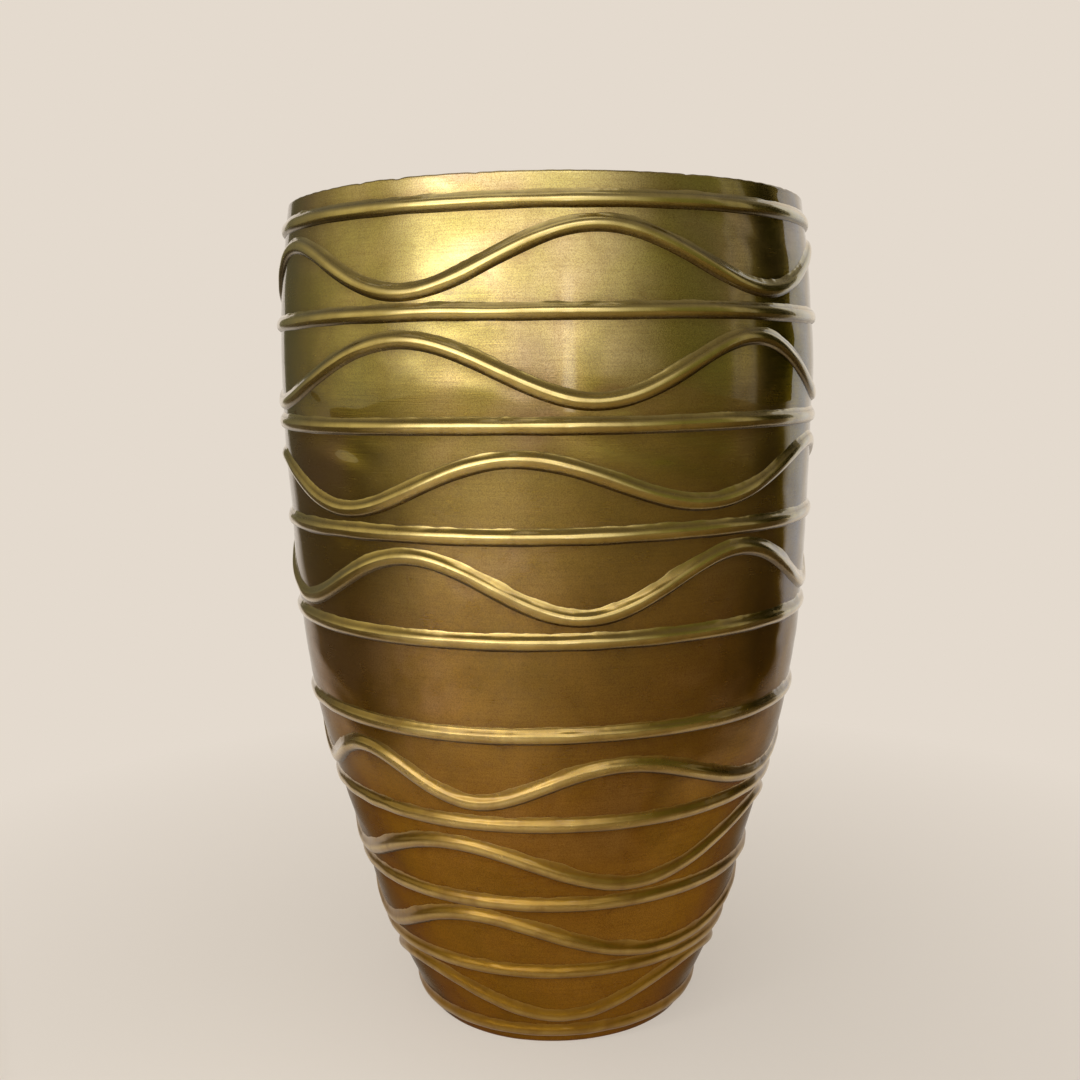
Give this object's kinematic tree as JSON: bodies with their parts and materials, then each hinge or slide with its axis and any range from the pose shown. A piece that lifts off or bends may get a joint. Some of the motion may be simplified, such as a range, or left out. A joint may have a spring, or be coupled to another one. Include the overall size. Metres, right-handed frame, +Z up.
{
  "type": "planter pot",
  "caption": "Tall tapered brass planter pot, open at the top, its sheet body banded with soldered half-round rings and hand-bent wavy wires between them.",
  "frame": {"origin": "centre of the base plate's underside, on the surface that the pot stands on", "axes": "+Z up along the pot's axis; -Y is the front in the picture; +X is to the right"},
  "size_m": [0.4058, 0.4056, 0.61],
  "materials": {
    "upper_body_brass": "antiqued sheet brass, fine brushing, clear lacquer",
    "lower_body_brass": "antiqued sheet brass, darker patina, clear lacquer",
    "base_brass": "plain dull sheet brass",
    "ring_wire_brass": "half-oval brass wire, rubbed bright on its back, clear lacquer",
    "wave_wire_brass": "hand-bent half-oval brass wire, rubbed bright on its back, clear lacquer"
  },
  "bodies": {
    "root": {"upper_body_shell": "upper_body_brass", "lower_body_shell": "lower_body_brass", "base_plate": "base_brass", "ring_wire_01": "ring_wire_brass", "ring_wire_02": "ring_wire_brass", "ring_wire_03": "ring_wire_brass", "ring_wire_04": "ring_wire_brass", "ring_wire_05": "ring_wire_brass", "ring_wire_06": "ring_wire_brass", "ring_wire_07": "ring_wire_brass", "ring_wire_08": "ring_wire_brass", "ring_wire_09": "ring_wire_brass", "ring_wire_10": "ring_wire_brass", "wave_wire_01": "wave_wire_brass", "wave_wire_02": "wave_wire_brass", "wave_wire_03": "wave_wire_brass", "wave_wire_04": "wave_wire_brass", "wave_wire_05": "wave_wire_brass", "wave_wire_06": "wave_wire_brass", "wave_wire_07": "wave_wire_brass", "wave_wire_08": "wave_wire_brass"}
  },
  "joints": []
}
